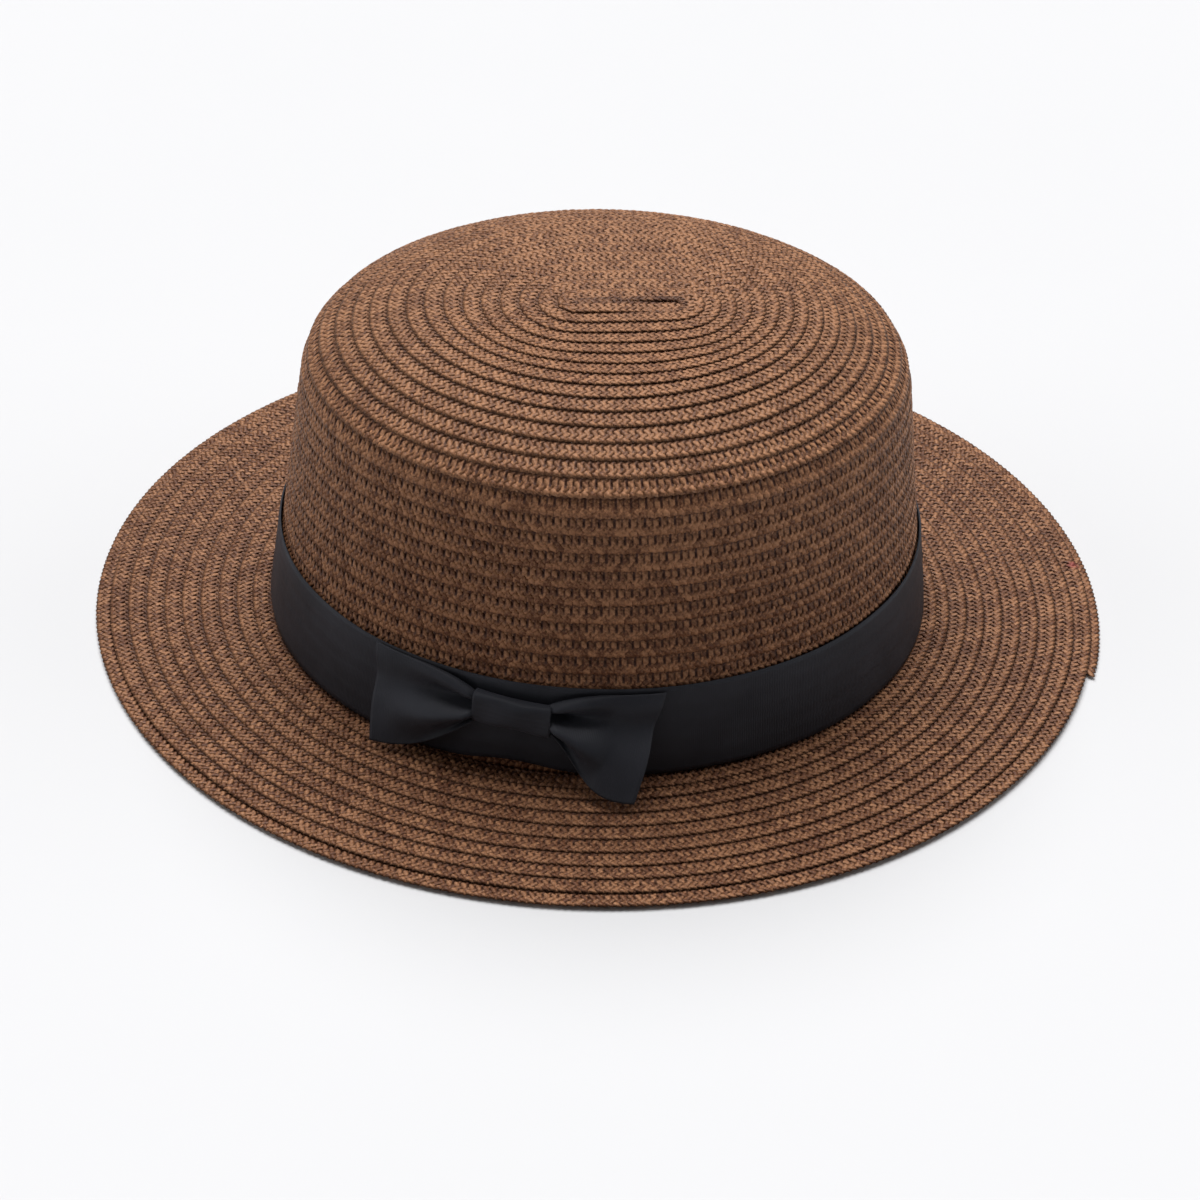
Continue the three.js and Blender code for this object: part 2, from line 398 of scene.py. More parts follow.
@dataclass
class HatForm:
    """The oval crown and the flat brim that every piece is laid on.

    Every level section is an oval, radius deep along Y and radius plus lead along X. Round the
    middle of the tip it narrows to a long strip, because the braid starts there folded on itself.
    """

    lead: float
    foot_radius: float
    foot_height: float
    brim_width: float = 55 * MM
    brim_top: float = 2 * MM
    neck_width: float = 24 * MM
    strip_half: float = 13.5 * MM
    strip_shift: float = 5 * MM
    strip_fade: float = 60 * MM
    strip_square: float = 5.0
    square_fade: float = 45 * MM
    line_step: float = 0.2 * MM
    line_end: float = 300 * MM
    inward: np.ndarray = field(init=False)
    radius: np.ndarray = field(init=False)
    height: np.ndarray = field(init=False)

    @classmethod
    def from_frame(cls) -> "HatForm":
        """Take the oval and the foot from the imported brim's box.

        Returns:
            The form, in the frame's place and size.
        """
        low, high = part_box("brim")
        rim_depth = high.y
        return cls(
            lead=high.x - high.y,
            foot_radius=rim_depth - cls.brim_width,
            foot_height=high.z,
        )

    def __post_init__(self) -> None:
        """Walk the crown's line from its foot to the middle of the tip."""
        stops = np.array([(stop.along, stop.slope) for stop in CROWN_LINE])
        along = np.arange(0, self.line_end, self.line_step)
        slope = np.radians(np.interp(along, stops[:, 0], stops[:, 1]))
        radius = self.foot_radius - np.concatenate([[0], np.cumsum(np.cos(slope[1:]))]) * self.line_step
        height = self.foot_height + np.concatenate([[0], np.cumsum(np.sin(slope[1:]))]) * self.line_step
        kept = radius > 0
        total = along[kept][-1]
        self.inward = (total - along[kept])[::-1]
        self.radius = radius[kept][::-1]
        self.height = height[kept][::-1]

    @property
    def crown_length(self) -> float:
        """The length of the crown's line, from the middle of the tip to the foot."""
        return float(self.inward[-1])

    def crown(self, distance: np.ndarray, angle: np.ndarray) -> np.ndarray:
        """Place points on the crown's outer face.

        Args:
            distance: How far down the crown's line from the middle of the tip.
            angle: The angle round the oval, in radians from +X.

        Returns:
            One point a row.
        """
        radius = np.interp(distance, self.inward, self.radius)
        height = np.interp(distance, self.inward, self.height)
        fade = 1 - smooth_step(radius, 0, self.strip_fade)
        lead = self.lead + (self.strip_half - self.lead) * fade
        square = self.strip_square * (1 - smooth_step(radius, 0, self.square_fade))
        square = np.maximum(0.01, square)
        along = np.tanh(square * np.cos(angle)) / np.tanh(square)
        x = radius * np.cos(angle) + lead * along + self.strip_shift * fade
        return np.stack([x, radius * np.sin(angle), height], axis=-1)

    def _oval(self, radius: np.ndarray, angle: np.ndarray, height: np.ndarray) -> np.ndarray:
        """Place points on level ovals by radius along Y, angle in radians and height."""
        rows = (radius + self.lead) * np.cos(angle), radius * np.sin(angle), height + 0 * angle
        return np.stack(rows, axis=-1)

    def brim(self, distance: np.ndarray, angle: np.ndarray) -> np.ndarray:
        """Place points on the brim's upper face.

        Args:
            distance: How far out from the crown's foot.
            angle: The angle round the oval, in radians from +X.

        Returns:
            One point a row.
        """
        radius = self.foot_radius + np.asarray(distance, float)
        height = np.interp(distance, [0, self.neck_width], [self.foot_height, self.brim_top])
        return self._oval(radius, angle, height)

    def on_wall(self, angle: np.ndarray, rise: np.ndarray, out: np.ndarray) -> np.ndarray:
        """Place points by angle in degrees, rise up the crown's wall and distance out from it.

        Args:
            angle: The angle round the oval, in degrees from +X.
            rise: How far up the wall from its foot.
            out: How far out from the wall's face.

        Returns:
            One point a row.
        """
        wall = math.radians(CROWN_LINE[0].slope)
        turn = np.radians(angle)
        radius = self.foot_radius - rise * math.cos(wall) + out * math.sin(wall)
        height = self.foot_height + rise * math.sin(wall) + out * math.cos(wall)
        return self._oval(radius, turn, height)


# ---- the braid's route --------------------------------------------------------


@dataclass(frozen=True)
class Braid:
    """The sizes of the plaited braid that the hat is sewn from."""

    width: float = 7.8 * MM
    cell: float = 2.05 * MM
    row_pitch: float = 5.4 * MM
    tilt: float = 4.8
    sink: float = 0.4 * MM
    wander: float = 0.16 * MM
    wander_from: float = 5.0
    wander_full: float = 25.0
    steps_a_turn: int = 720
    spacing: float = 1 * MM

    @property
    def reach(self) -> float:
        """How far the outer edge lies from the middle of the braid, along the hat's face."""
        return 0.5 * self.width * math.cos(math.radians(self.tilt))


@dataclass
class Route:
    """A line for the braid to follow, with its crosswise and upward directions."""

    points: np.ndarray
    across: np.ndarray
    lay: np.ndarray
    distance: np.ndarray
    length: np.ndarray = field(init=False)

    def __post_init__(self) -> None:
        """Measure the route."""
        steps = np.linalg.norm(np.diff(self.points, axis=0), axis=1)
        self.length = np.concatenate([[0], np.cumsum(steps)])

    def even(self, spacing: float) -> "Route":
        """Give the same route with its points a fixed spacing apart.

        Args:
            spacing: The distance between points.

        Returns:
            The evenly spaced route.
        """
        marks = np.arange(0, self.length[-1], spacing)
        parts = [np.stack([np.interp(marks, self.length, rows[:, i]) for i in range(3)], axis=-1)
                 for rows in (self.points, self.across, self.lay)]
        distance = np.interp(marks, self.length, self.distance)
        return Route(*parts, distance)

    def stretch(self, start: float, end: float) -> "Route":
        """Give the part of the route between two lengths."""
        kept = (self.length >= start - 1e-9) & (self.length <= end)
        return Route(self.points[kept], self.across[kept], self.lay[kept], self.distance[kept])

    def where(self, distance: float) -> float:
        """Give the length at which the route first passes a distance from where it starts."""
        return float(self.length[np.argmax(self.distance >= distance)])


@dataclass(frozen=True)
class DriftWave:
    """One slow wave of the seam's drift, by the angle gone round in radians."""

    rate: float
    share: float
    shift: float


DRIFT = (DriftWave(2.31, 1.0, 0.4), DriftWave(5.17, 0.7, 1.9), DriftWave(9.63, 0.5, 4.2))


def wandering(turns: np.ndarray, size: float) -> np.ndarray:
    """Give a small slow drift, as a hand-guided seam has.

    Args:
        turns: The angle gone round, in radians.
        size: The largest drift.

    Returns:
        The drift at each angle.
    """
    waves = sum(wave.share * np.sin(wave.rate * turns + wave.shift) for wave in DRIFT)
    return size * waves / sum(wave.share for wave in DRIFT)


def lay_route(
    surface: Callable[[np.ndarray, np.ndarray], np.ndarray],
    distance: np.ndarray,
    turned: np.ndarray,
    start_angle: float,
    tilt: np.ndarray,
    lift: np.ndarray,
    braid: Braid,
    lead_in: float = 0.0,
) -> Route:
    """Lay a braid on a face of the hat, clockwise seen from above.

    Args:
        surface: Gives the face's points from a distance and an angle.
        distance: The braid's distance at each step.
        turned: The angle gone round at each step, in radians.
        start_angle: The angle round the oval where turned is 0.
        tilt: How far the outer edge is tipped up at each step, in radians.
        lift: How far the braid is raised off its row at each step.
        braid: The braid's sizes.
        lead_in: How far the braid runs on straight before its first step.

    Returns:
        The route, with evenly spaced points.
    """
    angle = start_angle - turned
    settled = smooth_step(turned, braid.wander_from, braid.wander_full)
    distance = distance + wandering(turned, braid.wander) * settled
    points = surface(distance, angle)
    nudge = 0.5 * MM
    tangent = unit(np.gradient(points, axis=0))
    across = surface(distance + nudge, angle) - surface(np.maximum(distance - nudge, 0), angle)
    across = unit(across - tangent * np.sum(across * tangent, axis=1, keepdims=True))
    lay = np.cross(tangent, across)
    points = points + lay * (lift - braid.sink)[:, None]
    tipped = across * np.cos(tilt)[:, None] + lay * np.sin(tilt)[:, None]
    raised = lay * np.cos(tilt)[:, None] - across * np.sin(tilt)[:, None]
    before = np.arange(lead_in, 0, -braid.spacing)[:, None]
    points = np.concatenate([points[0] - tangent[0] * before, points])
    tipped = np.concatenate([tipped[:1].repeat(len(before), 0), tipped])
    raised = np.concatenate([raised[:1].repeat(len(before), 0), raised])
    distance = np.concatenate([np.zeros(len(before)), distance])
    return Route(points, tipped, raised, distance).even(braid.spacing)


# ---- the plait ----------------------------------------------------------------


class PlaitTree:
    """The Geometry Nodes tree that plaits straws along a route.

    Each flat straw swings from one edge to the other and turns back there, over and under the
    straws that cross the other way. The shade in the slots between straws is painted in the straw's finish.
    """

    NAME = "plait_along_route"
    STRAW_SHIFT = 3.7

    def __init__(self) -> None:
        """Write the tree."""
        self.tree = bpy.data.node_groups.new(self.NAME, "GeometryNodeTree")
        self.w = TreeWriter(self.tree)
        self._declare()
        self.given = self.tree.nodes.new("NodeGroupInput").outputs
        self._write()

    def _declare(self) -> None:
        """Name the tree's inputs and its output."""
        face = self.tree.interface
        face.new_socket("Route", in_out="INPUT", socket_type="NodeSocketGeometry")
        sizes = {
            "Width": Braid.width, "Cell": Braid.cell, "Run in cells": 3.0, "Strip": 1.95 * MM,
            "Rise": 0.15 * MM, "Crest": 0.07 * MM, "Edge": 0.12 * MM, "Slip": 0.12 * MM,
            "Unevenness": 0.05 * MM,
        }
        for name, value in sizes.items():
            face.new_socket(name, in_out="INPUT", socket_type="NodeSocketFloat").default_value = value
        for name, value in {"Steps": 6, "Seed": 7}.items():
            face.new_socket(name, in_out="INPUT", socket_type="NodeSocketInt").default_value = value
        face.new_socket("Finish", in_out="INPUT", socket_type="NodeSocketMaterial")
        face.new_socket("Plait", in_out="OUTPUT", socket_type="NodeSocketGeometry")

    def _random(self, low: float, high: float, ident: object, shift: int) -> Socket:
        """Give a random number for each identity, from the tree's seed.

        Args:
            low: The least it may be.
            high: The most it may be.
            ident: What each number belongs to.
            shift: What sets this number apart from the tree's others.

        Returns:
            The random number.
        """
        seed = self.w.math("ADD", self.given["Seed"], float(shift))
        node = self.w.node("FunctionNodeRandomValue", data_type="FLOAT")
        self.w.join(low, node.inputs[2])
        self.w.join(high, node.inputs[3])
        self.w.join(ident, node.inputs["ID"])
        self.w.join(seed, node.inputs["Seed"])
        return node.outputs[1]

    def _straws(self, curve: Socket) -> tuple[Socket, Socket]:
        """Make one unshaped strip for each crossing of the braid.

        Args:
            curve: The route as a curve.

        Returns:
            The strips as a mesh, and the number of each strip.
        """
        w, given = self.w, self.given
        length = w.node("GeometryNodeCurveLength", {0: curve}).outputs[0]
        cells = w.math("DIVIDE", length, given["Cell"])
        cells = w.math("FLOOR", w.math("SUBTRACT", cells, given["Run in cells"]))
        count = w.math("MULTIPLY", cells, 2.0)
        seats = w.node("GeometryNodePoints", {"Count": count}).outputs[0]
        strip = w.node(
            "GeometryNodeMeshCylinder",
            {"Vertices": 3, "Side Segments": given["Steps"], "Radius": 1.0, "Depth": 1.0},
            fill_type="NGON",
        ).outputs["Mesh"]
        placed = w.node("GeometryNodeInstanceOnPoints", {"Points": seats, "Instance": strip}).outputs[0]
        number = w.node("GeometryNodeCaptureAttribute", {0: placed}, domain="INSTANCE")
        number.capture_items.new("INT", "strip")
        w.join(w.node("GeometryNodeInputIndex").outputs[0], number.inputs[1])
        mesh = w.node("GeometryNodeRealizeInstances", {0: number.outputs[0]}).outputs[0]
        return mesh, number.outputs[1]

    def _write(self) -> None:
        """Write the whole tree."""
        w, given = self.w, self.given
        curve = w.node("GeometryNodeMeshToCurve", {0: given["Route"]}).outputs[0]
        mesh, strip = self._straws(curve)

        place = w.split(w.node("GeometryNodeInputPosition").outputs[0])
        run = w.math("ADD", place[2], 0.5)
        turn = w.math("ARCTAN2", place[1], place[0])
        corner = w.math("ROUND", w.math("DIVIDE", turn, FULL_TURN / 3))
        side = w.math("SUBTRACT", w.math("FLOORED_MODULO", corner, 3.0), 1.0)
        off = w.math("ABSOLUTE", side)

        odd = w.math("FLOORED_MODULO", strip, 2.0)
        hand = w.math("SUBTRACT", 1.0, w.math("MULTIPLY", odd, 2.0))
        seat = w.math("FLOOR", w.math("DIVIDE", strip, 2.0))
        swing = w.math("SUBTRACT", w.math("MULTIPLY", run, 2.0), 1.0)
        far = w.math("ABSOLUTE", swing)

        half_strip = w.math("MULTIPLY", given["Strip"], 0.5)
        swing_size = w.math("SUBTRACT", w.math("MULTIPLY", given["Width"], 0.5), half_strip)
        run_length = w.math("MULTIPLY", given["Run in cells"], given["Cell"])
        phase = w.math("MULTIPLY", swing, math.pi / 2)
        signed_size = w.math("MULTIPLY", hand, swing_size)
        steepest = w.math("DIVIDE", w.math("MULTIPLY", signed_size, math.pi), run_length)
        steep = w.math("MULTIPLY", steepest, w.math("COSINE", phase))
        slant = w.math("SQRT", w.math("MULTIPLY_ADD", steep, steep, 1.0))
        offset = w.math("DIVIDE", w.math("MULTIPLY", side, half_strip), slant)
        across = w.math("SUBTRACT", w.math("MULTIPLY", signed_size, w.math("SINE", phase)), offset)

        middle = w.math("MULTIPLY_ADD", run, run_length, w.math("MULTIPLY", seat, given["Cell"]))
        half_run = w.math("MULTIPLY", given["Run in cells"], 0.5)
        turning = w.math("SUBTRACT", half_run, 0.5)
        out = w.math("MULTIPLY", far, half_run)
        held = w.math("COSINE", w.math("MULTIPLY", w.math("MINIMUM", out, turning), FULL_TURN))
        past = w.math("MAXIMUM", w.math("SUBTRACT", out, turning), 0.0)
        late = w.math("COSINE", w.math("MULTIPLY", past, math.pi))
        wave = w.math("MULTIPLY", w.math("MULTIPLY", hand, -1.0), w.math("MULTIPLY", held, late))

        fall = w.math("ADD", given["Crest"], given["Edge"])
        section = w.math("SUBTRACT", given["Crest"], w.math("MULTIPLY", off, fall))
        uneven = w.math("MULTIPLY", self._random(-1.0, 1.0, strip, 1), given["Unevenness"])
        height = w.math("ADD", w.math("MULTIPLY_ADD", wave, given["Rise"], section), uneven)

        slip = w.math("MULTIPLY", self._random(-1.0, 1.0, strip, 2), given["Slip"])
        along = w.math("ADD", w.math("MULTIPLY_ADD", offset, steep, middle), slip)

        def sampled(name: str) -> bpy.types.Node:
            """Read a direction stored on the route, at the place along it.

            Args:
                name: The direction's name on the route.

            Returns:
                The node that gives the direction and the place.
            """
            kind = {"data_type": "FLOAT_VECTOR"}
            stored = w.node("GeometryNodeInputNamedAttribute", {0: name}, **kind)
            node = w.node("GeometryNodeSampleCurve", mode="LENGTH", use_all_curves=True, **kind)
            w.join(curve, node.inputs["Curves"])
            w.join(stored.outputs[0], node.inputs["Value"])
            w.join(along, node.inputs["Length"])
            return node

        crosswise, upward = sampled("across"), sampled("lay")
        point = w.vector("ADD", crosswise.outputs["Position"], w.scaled(crosswise.outputs["Value"], across))
        point = w.vector("ADD", point, w.scaled(upward.outputs["Value"], height))

        grain = w.node("ShaderNodeCombineXYZ", {
            0: w.math("MULTIPLY", run, w.math("MULTIPLY", run_length, math.sqrt(2))),
            1: w.math("MULTIPLY", side, half_strip),
            2: w.math("MULTIPLY", strip, self.STRAW_SHIFT),
        }).outputs[0]
        shade = self._random(0.0, 1.0, strip, 3)
        # Painted shade: how low a straw lies in the weave, which the finish reads to paint it darker.
        painted_depth_shade = w.ramp(w.math("DIVIDE", height, given["Rise"]), -1.0, 1.0, 0.6, 0.9)
        lie = w.node("ShaderNodeCombineXYZ", {0: along, 1: across}).outputs[0]

        for name, value in (("grain", grain), ("shade", shade), ("depth", painted_depth_shade), ("lie", lie)):
            kind = "FLOAT_VECTOR" if value.type == "VECTOR" else "FLOAT"
            links = {0: mesh, "Name": name}
            stored = w.node("GeometryNodeStoreNamedAttribute", links, data_type=kind, domain="POINT")
            w.join(value, stored.inputs["Value"])
            mesh = stored.outputs[0]
        mesh = w.node("GeometryNodeSetPosition", {0: mesh, "Position": point}).outputs[0]
        mesh = w.node("GeometryNodeSetShadeSmooth", {0: mesh, "Shade Smooth": True}).outputs[0]
        mesh = w.node("GeometryNodeRealizeInstances", {0: mesh}).outputs[0]
        mesh = w.node("GeometryNodeSetMaterial", {0: mesh, "Material": given["Finish"]}).outputs[0]
        w.node("NodeGroupOutput", {0: mesh})

    def plait(
        self, name: str, route: Route, braid: Braid, finish: bpy.types.Material, seed: int
    ) -> bpy.types.Object:
        """Plait a braid along a route and give it as a plain mesh.

        Args:
            name: The piece's name.
            route: Where the braid goes.
            braid: The braid's sizes.
            finish: The straw's material.
            seed: What makes this stretch uneven in its own way.

        Returns:
            The piece, at the origin, with its place in its mesh.
        """
        count = len(route.points)
        mesh = bpy.data.meshes.new(name + "_route")
        edges = np.stack([np.arange(count - 1), np.arange(1, count)], axis=-1)
        mesh.from_pydata(route.points.tolist(), edges.tolist(), [])
        for key, rows in (("across", route.across), ("lay", route.lay)):
            stored = mesh.attributes.new(key, "FLOAT_VECTOR", "POINT")
            stored.data.foreach_set("vector", rows.astype(np.float32).ravel())
        piece = bpy.data.objects.new(name, mesh)
        bpy.context.scene.collection.objects.link(piece)
        modifier = piece.modifiers.new("plait", "NODES")
        modifier.node_group = self.tree
        values = {"Width": braid.width, "Cell": braid.cell, "Seed": seed, "Finish": finish}
        for item in self.tree.interface.items_tree:
            if item.in_out == "INPUT" and item.name in values:
                modifier[item.identifier] = values[item.name]
        return as_plain_mesh(piece)


def as_plain_mesh(piece: bpy.types.Object) -> bpy.types.Object:
    """Turn a piece and its modifiers into one plain mesh.

    Args:
        piece: The piece, with its modifiers still on it.

    Returns:
        The same piece, without modifiers.
    """
    graph = bpy.context.evaluated_depsgraph_get()
    finished = piece.evaluated_get(graph)
    made = bpy.data.meshes.new_from_object(finished, preserve_all_data_layers=True, depsgraph=graph)
    old = piece.data
    piece.modifiers.clear()
    piece.data = made
    made.name = piece.name
    bpy.data.meshes.remove(old)
    return piece


def fit_on(piece: bpy.types.Object, slot: Slot, *nodes: str) -> bpy.types.Object:
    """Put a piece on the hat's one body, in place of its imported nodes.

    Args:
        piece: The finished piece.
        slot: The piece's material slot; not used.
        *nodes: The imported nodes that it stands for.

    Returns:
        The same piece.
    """
    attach(piece, BODY)
    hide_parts(*nodes)
    log.info("%s: %d vertices, %d faces, stands for %s", piece.name, len(piece.data.vertices),
             len(piece.data.polygons), ", ".join(nodes))
    return piece


# ---- the straw ----------------------------------------------------------------


@dataclass
class CrownStraw:
    """The crown's braid: the tip, then the wall in two lengths, all one spiral."""

    form: HatForm
    braid: Braid
    seam: float = 84.5 * MM
    wall_from: float = 74 * MM
    wall_tilt: float = 10.5
    ribbon_line: float = 38 * MM
    first_turn: float = math.radians(75)
    tuck: float = 6 * MM
    tuck_depth: float = 0.7 * MM
    strip_lift: float = 0.35 * MM
    tilt_from: Span = (math.radians(200), math.radians(400))
    lift_until: Span = (math.radians(220), math.radians(450))
    tuck_turn: float = math.radians(25)
    foot_overrun: float = 0.5 * MM
    first_seed: int = 11

    def route(self) -> Route:
        """Give the crown's route, from the middle of the tip to its foot.

        Returns:
            The route, with the tip's long strip first.
        """
        braid = self.braid
        last = self.form.crown_length + self.foot_overrun - braid.reach
        run_turns = last / braid.row_pitch
        steps = int((run_turns + 1) * braid.steps_a_turn)
        turned = np.linspace(self.first_turn, (run_turns + 1) * FULL_TURN, steps)
        distance = np.minimum(turned / FULL_TURN * braid.row_pitch, last)
        closing = np.clip(turned / FULL_TURN - run_turns, 0, 1)
        length = self.form.crown_length
        wall = smooth_step(distance, length - self.seam, length - self.wall_from)
        tilt = np.radians(braid.tilt + (self.wall_tilt - braid.tilt) * wall)
        tilt = tilt * smooth_step(turned, *self.tilt_from)
        lift = self.strip_lift * (1 - smooth_step(turned, *self.lift_until))
        lift = lift - self.tuck_depth * closing
        start = smooth_step(turned, self.first_turn, self.first_turn + self.tuck_turn)
        lift = lift - self.tuck_depth * (1 - start)
        return lay_route(self.form.crown, distance, turned, 0.0, tilt, lift, braid, self.tuck)

    def build(self, plaits: PlaitTree, finish: bpy.types.Material) -> list[bpy.types.Object]:
        """Plait the tip and the wall.

        Args:
            plaits: The tree that plaits.
            finish: The straw's material.

        Returns:
            The three pieces, from the tip down.
        """
        route = self.route()
        ends = [self.form.crown_length - self.seam, self.form.crown_length - self.ribbon_line]
        marks = [0.0] + [round(route.where(end) / self.braid.cell) * self.braid.cell for end in ends]
        marks.append(float(route.length[-1]))
        nodes = {"straw_tip": "crown_top", "straw_wall_upper": "crown_side", "straw_wall_lower": "crown_side"}
        pieces = []
        for i, (name, node) in enumerate(nodes.items()):
            part = route.stretch(marks[i], marks[i + 1] + self.braid.width + self.braid.spacing)
            piece = plaits.plait(name, part, self.braid, finish, self.first_seed + i)
            pieces.append(fit_on(piece, Slot.STRAW, node))
        return pieces


@dataclass
class BrimStraw:
    """The brim's braid, one spiral from the crown's foot to the cut end at the rim."""

    form: HatForm
    braid: Braid
    inner_edge: float = -3.2 * MM
    opening: float = 2.7 * MM
    notch: float = 2.4 * MM
    rim_tilt: float = 1.5
    rim_drop: float = 0.6 * MM
    cut_end_angle: float = math.radians(-21.4)
    closing_turns: Span = (1.2, 0.4)
    split: float = 0.47
    first_seed: int = 21

    def route(self) -> Route:
        """Give the brim's route, from the crown's foot to the rim.

        Returns:
            The route, from the inside out.
        """
        braid = self.braid
        first = self.inner_edge + braid.reach
        last = self.form.brim_width - braid.reach
        middle_turns = (last - first - self.opening - self.notch) / braid.row_pitch
        turns = middle_turns + 2
        turned = np.linspace(0, turns * FULL_TURN, int(turns * braid.steps_a_turn))
        stops = np.array([0, 1, 1 + middle_turns, turns]) * FULL_TURN
        rows = [first, first + self.opening, last - self.notch, last]
        distance = np.interp(turned, stops, rows)
        starts, ends = self.closing_turns
        closing = smooth_step(turned / FULL_TURN, turns - starts, turns - ends)
        tilt = np.radians(braid.tilt + (self.rim_tilt - braid.tilt) * closing)
        start_angle = self.cut_end_angle + turns * FULL_TURN
        lift = -self.rim_drop * closing
        return lay_route(self.form.brim, distance, turned, start_angle, tilt, lift, braid)

    def build(self, plaits: PlaitTree, finish: bpy.types.Material) -> list[bpy.types.Object]:
        """Plait the brim in two lengths.

        Args:
            plaits: The tree that plaits.
            finish: The straw's material.

        Returns:
            The two pieces, from the inside out.
        """
        route = self.route()
        half = round(self.split * route.length[-1] / self.braid.cell) * self.braid.cell
        parts = [
            route.stretch(0, half + self.braid.width + self.braid.spacing),
            route.stretch(half, float(route.length[-1])),
        ]
        pieces = []
        for i, (name, part) in enumerate(zip(("straw_brim_inner", "straw_brim_outer"), parts)):
            piece = plaits.plait(name, part, self.braid, finish, self.first_seed + i)
            pieces.append(fit_on(piece, Slot.STRAW, "brim"))
        return pieces


# ---- the ribbon ---------------------------------------------------------------


@dataclass(frozen=True)
class Ribbon:
    """The ribbon that the band and the bow are cut from."""

    width: float = 28 * MM
    thickness: float = 0.45 * MM


def line_length(points: np.ndarray) -> float:
    """Measure a line of points."""
    return float(np.linalg.norm(np.diff(points, axis=0), axis=1).sum())


def sheet_mesh(
    name: str,
    points: np.ndarray,
    flat: np.ndarray,
    round_long: bool,
    finish: bpy.types.Material,
    ribbon: Ribbon,
) -> bpy.types.Object:
    """Make a ribbon sheet with its own thickness and a UV map in metres.

    Args:
        name: The piece's name.
        points: The sheet's points, rows by columns, with its front where rows x columns is outward.
        flat: Each point's place on the flat ribbon, in metres: along, then across.
        round_long: Whether the last row joins the first.
        finish: The ribbon's material.
        ribbon: The ribbon, whose thickness is laid on the front.

    Returns:
        The piece, at the origin.
    """
    rows, columns = points.shape[:2]
    mesh = bpy.data.meshes.new(name)
    faces, corners = [], []
    last = rows if round_long else rows - 1
    for i in range(last):
        for j in range(columns - 1):
            nxt = (i + 1) % rows
            faces.append((i * columns + j, nxt * columns + j, nxt * columns + j + 1, i * columns + j + 1))
            corners += [flat[i, j], flat[i + 1, j], flat[i + 1, j + 1], flat[i, j + 1]]
    mesh.from_pydata(points.reshape(-1, 3).tolist(), [], faces)
    mesh.uv_layers.new(name="UVMap").data.foreach_set("uv", np.array(corners, np.float32).ravel())
    mesh.shade_smooth()
    mesh.materials.append(finish)
    piece = bpy.data.objects.new(name, mesh)
    bpy.context.scene.collection.objects.link(piece)
    solid = piece.modifiers.new("thickness", "SOLIDIFY")
    solid.thickness = ribbon.thickness
    solid.offset = 1
    solid.use_even_offset = True
    return as_plain_mesh(piece)


@dataclass
class HatBand:
    """The ribbon stretched round the foot of the crown, pulled up a little under the bow."""

    form: HatForm
    ribbon: Ribbon
    row_pitch: float
    foot: float = 0.6 * MM
    stand_off: float = 1.35 * MM
    around: int = 360
    steps: int = 18
    long_wave: float = 0.10 * MM
    short_wave: float = 0.07 * MM
    row_print: float = 0.06 * MM
    edge_roll: float = 0.12 * MM
    roll_width: float = 1.5 * MM
    crease_out: float = 0.5 * MM
    crease_rise: float = 6 * MM
    crease_width: float = 1.1 * MM
    crease_starts: Span = (-119.0, -115.0)
    crease_ends: Span = (-101.0, -93.0)
    pull: float = 2.6 * MM
    pull_angle: float = -108.5
    pull_spread: float = 8.0

    def _out(self, angle: np.ndarray, rise: np.ndarray, lower: np.ndarray) -> np.ndarray:
        """Give how far the band stands out from the crown's wall.

        Args:
            angle: The angle round the oval, in degrees.
            rise: How far up the wall.
            lower: How far up the wall the band's lower edge is.

        Returns:
            The distance out, with slow waves, the straw's rows, rolled edges and one crease.
        """
        turn = np.radians(angle)
        slow = self.long_wave * np.sin(7 * turn + 60 * rise / self.ribbon.width)
        slow = slow + self.short_wave * np.sin(13 * turn + 1.3)
        rows = self.row_print * np.cos(FULL_TURN * (rise / self.row_pitch + angle / 360))
        edges = gaussian(rise, lower, self.roll_width)
        edges = edges + gaussian(rise, self.foot + self.ribbon.width, self.roll_width)
        beside = smooth_step(angle, *self.crease_starts) * (1 - smooth_step(angle, *self.crease_ends))
        crease = self.crease_out * gaussian(rise, self.crease_rise + lower, self.crease_width) * beside
        return self.stand_off + slow + rows + crease - self.edge_roll * edges

    def build(self, finish: bpy.types.Material) -> bpy.types.Object:
        """Shape the band over the rows of straw and dress it.

        Args:
            finish: The ribbon's material.

        Returns:
            The band.
        """
        angle = np.linspace(0, -360, self.around + 1)[:, None]
        share = np.linspace(0, 1, self.steps + 1)[None, :]
        pulled = self.pull * gaussian(angle, self.pull_angle, self.pull_spread)
        pulled = pulled + self.pull * gaussian(angle + 360, self.pull_angle, self.pull_spread)
        lower = self.foot + pulled
        rise = lower + (self.ribbon.width - pulled) * share
        points = self.form.on_wall(angle + 0 * rise, rise, self._out(angle, rise, lower))
        radius = self.form.foot_radius + 0.5 * self.form.lead
        flat = np.stack(np.broadcast_arrays(-np.radians(angle) * radius, rise), axis=-1)
        piece = sheet_mesh("ribbon_band", points[:-1], flat, True, finish, self.ribbon)
        fit_on(piece, Slot.RIBBON, "hat_band")
        return piece


@dataclass(frozen=True)
class EdgeStop:
    """One place on a wing's edge: degrees round the oval, rise up the wall and distance out in mm."""

    angle: float
    rise: float
    out: float


@dataclass(frozen=True)
class Wing:
    """One side of the bow, gathered at the knot and cut off at its end."""

    name: str
    node: str
    lower: Sequence[EdgeStop]
    upper: Sequence[EdgeStop]
    belly: float
    leftward: bool
    hollow: float = 0.0
    pleats: float = 1.9
    ridge: float = 0.36


